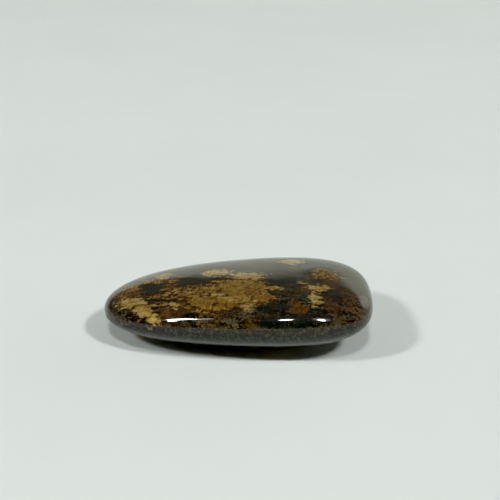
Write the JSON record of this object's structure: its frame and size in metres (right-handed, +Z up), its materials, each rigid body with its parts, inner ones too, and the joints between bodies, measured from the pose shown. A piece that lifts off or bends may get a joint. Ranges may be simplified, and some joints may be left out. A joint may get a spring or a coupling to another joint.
{
  "type": "polished bronzite pebble",
  "caption": "Flat polished pebble of bronzite, a dark bronze-brown stone with golden patches, narrow at one end and broad at the other, that rests on a small flat spot.",
  "frame": {"origin": "on the resting surface, under the middle of the stone's bounding box", "axes": "+X along the stone from its narrow end to its broad end, +Y towards its back, +Z up"},
  "size_m": [0.05, 0.033, 0.0121],
  "materials": {
    "polished_bronzite": "natural stone, tumbled to a high polish, dark bronze-brown with golden patches and black veins"
  },
  "bodies": {
    "root": {"bronzite_pebble": "polished_bronzite"}
  },
  "joints": []
}
